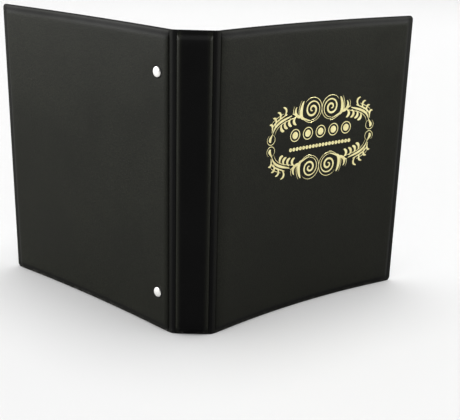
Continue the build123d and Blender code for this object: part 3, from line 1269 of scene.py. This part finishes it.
def scuff_group():
    """Scuffs near the edge the album stands on."""
    name = "album_foot_scuffs"
    if name in bpy.data.node_groups:
        return bpy.data.node_groups[name]
    group, start, end = new_group(
        name, [("Reach", 0.006), ("Scratches per metre", 260)], [("Mask", "NodeSocketFloat")]
    )
    place = group.nodes.new("ShaderNodeTexCoord")
    split = group.nodes.new("ShaderNodeSeparateXYZ")
    group.links.new(place.outputs["Object"], split.inputs[0])
    low = stretch(group, split.outputs["Z"], 0.0, start.outputs["Reach"], 1.0, 0.0)
    base = object_place(group, start.outputs["Scratches per metre"])
    broken = noise_value(group, base, 1.0, 4, 0.7)
    patchy = stretch(group, broken, 0.48, 0.66, 0.0, 1.0)
    group.links.new(maths(group, "MULTIPLY", low, patchy), end.inputs["Mask"])
    return group


def hairline_group():
    """Fine lines left by polishing, running up the piece."""
    name = "album_hairlines"
    if name in bpy.data.node_groups:
        return bpy.data.node_groups[name]
    group, start, end = new_group(
        name, [("Lines per metre", 5000), ("Length ratio", 0.04)], [("Value", "NodeSocketFloat")]
    )
    place = group.nodes.new("ShaderNodeTexCoord")
    split = group.nodes.new("ShaderNodeSeparateXYZ")
    group.links.new(place.outputs["Object"], split.inputs[0])
    joined = group.nodes.new("ShaderNodeCombineXYZ")
    group.links.new(split.outputs["X"], joined.inputs["X"])
    group.links.new(split.outputs["Y"], joined.inputs["Y"])
    squeezed = maths(group, "MULTIPLY", split.outputs["Z"], start.outputs["Length ratio"])
    group.links.new(squeezed, joined.inputs["Z"])
    scaled = group.nodes.new("ShaderNodeVectorMath")
    scaled.operation = "SCALE"
    group.links.new(joined.outputs[0], scaled.inputs[0])
    group.links.new(start.outputs["Lines per metre"], scaled.inputs["Scale"])
    group.links.new(noise_value(group, scaled.outputs[0], 1.0, 2), end.inputs["Value"])
    return group


# ---------------------------------------------------------------- materials


def new_material(name):
    """New material, its node tree and its Principled shader."""
    material = bpy.data.materials.new(name)
    material.use_nodes = True
    tree = material.node_tree
    shader = next(node for node in tree.nodes if node.type == "BSDF_PRINCIPLED")
    return material, tree, shader


def placed_group(tree, group, **values):
    """Places a group with its own values; returns its outputs."""
    node = tree.nodes.new("ShaderNodeGroup")
    node.node_tree = group
    for label, value in values.items():
        node.inputs[label.replace("_", " ")].default_value = value
    return node.outputs


def mixed(tree, share, first, second):
    """Colour between two colours; each is a colour or a socket."""
    node = tree.nodes.new("ShaderNodeMix")
    node.data_type = "RGBA"
    ends = [socket for socket in node.inputs if socket.type == "RGBA"]
    for socket, value in zip(ends, (first, second)):
        feed(tree, socket, value if hasattr(value, "links") else (*value, 1))
    feed(tree, node.inputs["Factor"], share)
    return next(socket for socket in node.outputs if socket.type == "RGBA")


def cloudy(tree, shader, mask, colours, roughness):
    """Colour and roughness that both drift between two values over a mask."""
    tree.links.new(mixed(tree, mask, *colours), shader.inputs["Base Color"])
    drifting = stretch(tree, mask, 0.2, 0.8, *roughness)
    tree.links.new(drifting, shader.inputs["Roughness"])


def scuffed(tree, colour, mask, share):
    """Colour that turns to the scuff colour by a share of a mask."""
    return mixed(tree, maths(tree, "MULTIPLY", mask, share), colour, looks().scuff)


def scaled(colour, *factors):
    """Colour with its channels multiplied, and none above 1."""
    each = factors if len(factors) == 3 else factors * 3
    return tuple(min(1, channel * factor) for channel, factor in zip(colour, each))


def bumped(tree, shader, height, distance, strength):
    """Bumps the shader's normal by a height."""
    bump = tree.nodes.new("ShaderNodeBump")
    bump.inputs["Distance"].default_value = distance
    bump.inputs["Strength"].default_value = strength
    tree.links.new(height, bump.inputs["Height"])
    tree.links.new(bump.outputs["Normal"], shader.inputs["Normal"])


def leatherette():
    """Black heat-welded vinyl with a fine pebble grain."""
    if "black_leatherette" in bpy.data.materials:
        return bpy.data.materials["black_leatherette"]
    material, tree, shader = new_material("black_leatherette")
    look = looks()
    grain = placed_group(tree, grain_group(), Pebbles_per_metre=1 / look.grain_size, Crease=0.5)
    cloud = placed_group(tree, mottle_group(), Patches_per_metre=14, Contrast=1.5)
    scuff = placed_group(tree, scuff_group(), Reach=0.005, Scratches_per_metre=300)
    share = maths(tree, "MULTIPLY", grain["High spots"], cloud["Mask"])
    colour = mixed(tree, share, look.leather, look.leather_pale)
    # Painted shade stored on the mesh darkens the colour towards the shade colour; it also raises
    # the roughness below
    painted_shade_node = tree.nodes.new("ShaderNodeAttribute")
    painted_shade_node.attribute_name = "painted_shade"
    colour = mixed(tree, painted_shade_node.outputs["Fac"], colour, look.leather_painted_shade)
    colour = scuffed(tree, colour, scuff["Mask"], 0.35)
    tree.links.new(colour, shader.inputs["Base Color"])
    rough = stretch(tree, cloud["Mask"], 0.2, 0.8, 0.50, 0.60)
    rough = maths(tree, "MULTIPLY_ADD", scuff["Mask"], 0.15, rough)
    rough = maths(tree, "MULTIPLY_ADD", painted_shade_node.outputs["Fac"], 0.3, rough)
    tree.links.new(rough, shader.inputs["Roughness"])
    shader.inputs["Specular IOR Level"].default_value = 0.09
    bumped(tree, shader, grain["Height"], 0.12 * MM, 0.55)
    return material


def lining_vinyl():
    """Smooth black inner vinyl with a faint grain."""
    material, tree, shader = new_material("black_lining_vinyl")
    look = looks()
    grain = placed_group(tree, grain_group(), Pebbles_per_metre=1900, Crease=0.3)
    cloud = placed_group(tree, mottle_group(), Patches_per_metre=18, Contrast=1.3)
    scuff = placed_group(tree, scuff_group(), Reach=0.004, Scratches_per_metre=300)
    colour = mixed(tree, cloud["Mask"], look.lining, scaled(look.lining, 1.9))
    tree.links.new(scuffed(tree, colour, scuff["Mask"], 0.3), shader.inputs["Base Color"])
    rough = stretch(tree, cloud["Mask"], 0.2, 0.8, 0.40, 0.52)
    tree.links.new(rough, shader.inputs["Roughness"])
    shader.inputs["Specular IOR Level"].default_value = 0.22
    bumped(tree, shader, grain["Height"], 0.05 * MM, 0.4)
    return material


def grey_board():
    """Pressed grey board with flecks of fibre."""
    material, tree, shader = new_material("grey_board")
    look = looks()
    cloud = placed_group(tree, mottle_group(), Patches_per_metre=420, Contrast=1.6)
    colour = mixed(tree, cloud["Mask"], look.board, scaled(look.board, 1.5))
    tree.links.new(colour, shader.inputs["Base Color"])
    shader.inputs["Roughness"].default_value = 0.9
    bumped(tree, shader, cloud["Mask"], 0.1 * MM, 0.5)
    return material


def bright_nickel():
    """Nickel plate with hairlines and a light bloom."""
    if "nickel_plate" in bpy.data.materials:
        return bpy.data.materials["nickel_plate"]
    material, tree, shader = new_material("nickel_plate")
    look = looks()
    lines = placed_group(tree, hairline_group(), Lines_per_metre=6000, Length_ratio=0.05)
    cloud = placed_group(tree, mottle_group(), Patches_per_metre=160, Contrast=1.2)
    colours = scaled(look.nickel, 0.82), look.nickel
    cloudy(tree, shader, cloud["Mask"], colours, (0.30, 0.40))
    shader.inputs["Metallic"].default_value = 0.85
    bumped(tree, shader, lines["Value"], 0.01 * MM, 0.25)
    return material


def pressed_steel():
    """Zinc-grey pressed steel."""
    material, tree, shader = new_material("pressed_steel")
    look = looks()
    lines = placed_group(tree, hairline_group(), Lines_per_metre=3500, Length_ratio=0.03)
    cloud = placed_group(tree, mottle_group(), Patches_per_metre=220, Contrast=1.4)
    colours = scaled(look.steel, 0.7), look.steel
    cloudy(tree, shader, cloud["Mask"], colours, (0.28, 0.42))
    shader.inputs["Metallic"].default_value = 1.0
    bumped(tree, shader, lines["Value"], 0.015 * MM, 0.3)
    return material


def gold_foil():
    """Hot-stamped gold foil, thin enough to show the grain under it."""
    material, tree, shader = new_material("gold_foil")
    look = looks()
    grain = placed_group(tree, grain_group(), Pebbles_per_metre=1 / look.grain_size, Crease=0.5)
    cloud = placed_group(tree, mottle_group(), Patches_per_metre=240, Contrast=1.5)
    colours = scaled(look.foil, 0.78, 0.68, 0.5), look.foil
    cloudy(tree, shader, cloud["Mask"], colours, (0.3, 0.42))
    shader.inputs["Metallic"].default_value = 0.75
    bumped(tree, shader, grain["Height"], 0.08 * MM, 0.5)
    return material


def clear_vinyl():
    """Clear soft vinyl film, a little cloudy."""
    if "clear_vinyl_film" in bpy.data.materials:
        return bpy.data.materials["clear_vinyl_film"]
    material, tree, shader = new_material("clear_vinyl_film")
    look = looks()
    cloud = placed_group(tree, mottle_group(), Patches_per_metre=45, Contrast=1.4)
    colours = scaled(look.film, 0.97), look.film
    cloudy(tree, shader, cloud["Mask"], colours, (0.05, 0.14))
    shader.inputs["Transmission Weight"].default_value = 0.92
    shader.inputs["IOR"].default_value = 1.35
    bumped(tree, shader, cloud["Mask"], 0.6 * MM, 0.25)
    return material


def frosted_weld():
    """Vinyl pressed milky by the welding bar, with the bar's fine ribs."""
    if "frosted_weld" in bpy.data.materials:
        return bpy.data.materials["frosted_weld"]
    material, tree, shader = new_material("frosted_weld")
    look = looks()
    grain = placed_group(tree, grain_group(), Pebbles_per_metre=2600, Crease=0.4)
    colour = mixed(tree, grain["High spots"], look.film, scaled(look.film, 1.02))
    tree.links.new(colour, shader.inputs["Base Color"])
    rough = stretch(tree, grain["High spots"], 0, 1, 0.42, 0.6)
    tree.links.new(rough, shader.inputs["Roughness"])
    shader.inputs["Transmission Weight"].default_value = 0.55
    shader.inputs["IOR"].default_value = 1.45
    bumped(tree, shader, grain["Height"], 0.08 * MM, 0.5)
    return material


def floor_paint():
    """Pale matt floor."""
    material, tree, shader = new_material("pale_floor")
    look = looks()
    cloud = placed_group(tree, mottle_group(), Patches_per_metre=3, Contrast=0.8)
    colour = mixed(tree, cloud["Mask"], scaled(look.floor, 0.985), look.floor)
    tree.links.new(colour, shader.inputs["Base Color"])
    shader.inputs["Roughness"].default_value = 0.85
    shader.inputs["Specular IOR Level"].default_value = 0.1
    return material


# ---------------------------------------------------------------- stage


def softbox(name, place, target, width, height, power):
    """Rectangular lamp that faces a target."""
    light = bpy.data.lights.new(name, "AREA")
    light.shape, light.size, light.size_y, light.energy = "RECTANGLE", width, height, power
    lamp = bpy.data.objects.new(name, light)
    bpy.context.scene.collection.objects.link(lamp)
    lamp.location = place
    lamp.rotation_mode = "QUATERNION"
    lamp.rotation_quaternion = (Vector(target) - Vector(place)).to_track_quat("-Z", "Y")
    return lamp


def overhead(name, strength):
    """Broad even light straight down."""
    light = bpy.data.lights.new(name, "SUN")
    light.energy, light.angle = strength, math.radians(50)
    lamp = bpy.data.objects.new(name, light)
    bpy.context.scene.collection.objects.link(lamp)
    return lamp


def share_out(side_lamps, top_lamp, floor):
    """The side lights light all but the floor, and the overhead light lights the floor alone."""
    left_out = bpy.data.collections.new("left_out_of_side_light")
    left_out.objects.link(floor)
    left_out.collection_objects[0].light_linking.link_state = "EXCLUDE"
    for lamp in side_lamps:
        lamp.light_linking.receiver_collection = left_out
    lit_from_above = bpy.data.collections.new("lit_from_above")
    lit_from_above.objects.link(floor)
    top_lamp.light_linking.receiver_collection = lit_from_above


def sweep_floor():
    """Large floor that curves up into a backdrop."""
    mesh_builder = bmesh.new()
    half, back, bend = 6.0, 3.0, 1.2
    line = [(-5.0, 0.0), (0.0, 0.0), (back, 0.0)]
    for index in range(1, 17):
        angle = math.pi / 2 * index / 16
        line.append((back + bend * math.sin(angle), bend - bend * math.cos(angle)))
    line.append((back + bend, 5.0))
    left = [mesh_builder.verts.new((-half, depth, up)) for depth, up in line]
    right = [mesh_builder.verts.new((half, depth, up)) for depth, up in line]
    for index in range(len(line) - 1):
        mesh_builder.faces.new((left[index], right[index], right[index + 1], left[index + 1]))
    return finished("studio_floor", mesh_builder, Vector((0, 0, 1)))


class ALBUM_OT_stage(bpy.types.Operator):
    """Pale floor, soft studio light and the camera"""

    bl_idname = "coin_album.stage"
    bl_label = "Stage"

    def execute(self, context):
        scene, stage = context.scene, context.scene.album_stage
        floor = sweep_floor()
        floor.location.z = CAD_BOUNDS[0].z
        floor.data.materials.append(floor_paint())
        back_middle, front_middle = (-0.08, 0.05, 0.2), (0.18, 0.12, 0.19)
        left_place, right_place = (-1.2, 0.0, 0.85), (0.60, 0.02, 0.62)
        left = softbox("left_softbox", left_place, back_middle, 0.6, 0.7, stage.left_light)
        right = softbox("right_softbox", right_place, front_middle, 0.3, 0.35, stage.right_light)
        share_out((left, right), overhead("overhead_light", stage.top_light), floor)
        world = bpy.data.worlds.new("studio_air")
        world.use_nodes = True
        background = world.node_tree.nodes["Background"]
        background.inputs["Color"].default_value = (1, 1, 1, 1)
        background.inputs["Strength"].default_value = stage.sky
        scene.world = world
        scene.view_settings.view_transform = "Standard"
        camera_data = bpy.data.cameras.new("camera")
        camera_data.lens, camera_data.sensor_width = stage.lens, 36
        camera = bpy.data.objects.new("camera", camera_data)
        scene.collection.objects.link(camera)
        camera.matrix_world = (
            Matrix.Translation(stage.place)
            @ Matrix.Rotation(math.pi / 2 - stage.down, 4, "X")
            @ Matrix.Rotation(stage.roll, 4, "Z")
        )
        scene.camera = camera
        return {"FINISHED"}


# ---------------------------------------------------------------- panel and registration


PIECE_OPERATORS = (
    ALBUM_OT_covers,
    ALBUM_OT_spine,
    ALBUM_OT_hinges,
    ALBUM_OT_linings,
    ALBUM_OT_boards,
    ALBUM_OT_rivets,
    ALBUM_OT_rings,
    ALBUM_OT_leaves,
    ALBUM_OT_foil,
    ALBUM_OT_stage,
)


class ALBUM_PT_pieces(bpy.types.Panel):
    """Lists the album's pieces"""

    bl_idname = "ALBUM_PT_pieces"
    bl_label = "Coin album"
    bl_space_type = "VIEW_3D"
    bl_region_type = "UI"
    bl_category = "Coin album"

    def draw(self, context):
        for operator in PIECE_OPERATORS:
            self.layout.operator(operator.bl_idname)


CLASSES = (AlbumSizes, AlbumLooks, AlbumStage, *PIECE_OPERATORS, ALBUM_PT_pieces)


def register():
    for cls in CLASSES:
        bpy.utils.register_class(cls)
    bpy.types.Scene.album_sizes = PointerProperty(type=AlbumSizes)
    bpy.types.Scene.album_looks = PointerProperty(type=AlbumLooks)
    bpy.types.Scene.album_stage = PointerProperty(type=AlbumStage)


def unregister():
    del bpy.types.Scene.album_stage
    del bpy.types.Scene.album_looks
    del bpy.types.Scene.album_sizes
    for cls in reversed(CLASSES):
        bpy.utils.unregister_class(cls)


def main():
    """Builds every piece in order."""
    register()
    for operator in PIECE_OPERATORS:
        group, name = operator.bl_idname.split(".")
        getattr(getattr(bpy.ops, group), name)()


if __name__ == "__main__":
    main()
